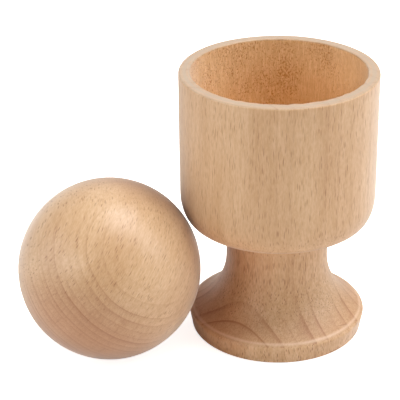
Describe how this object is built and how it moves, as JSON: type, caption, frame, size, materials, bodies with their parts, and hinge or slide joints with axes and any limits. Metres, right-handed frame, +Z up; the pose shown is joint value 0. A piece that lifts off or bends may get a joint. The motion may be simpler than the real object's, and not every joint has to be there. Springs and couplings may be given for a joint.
{
  "type": "ball and cup",
  "caption": "Turned wooden cup on a short waisted foot, with a loose wooden ball that stands beside it and sits on its rim.",
  "frame": {"origin": "centre of the cup's flat base, on the surface that the cup and the ball stand on", "axes": "+Z up along the cup's axis, +X from the resting ball towards the cup, +Y level, across that line"},
  "size_m": [0.0907, 0.0488, 0.0695],
  "materials": {
    "cup_beech": "satin, grain along the cup's axis",
    "ball_beech": "satin, finely sanded"
  },
  "bodies": {
    "cup": {"cup": "cup_beech"},
    "ball": {"ball": "ball_beech"}
  },
  "joints": [
    {"name": "ball_carry", "type": "hinge", "parent": "cup", "child": "ball", "pos_m": [-0.04384, 0, 0.06735], "axis": [0, 1, 0], "range_deg": [0, 257.8]}
  ]
}
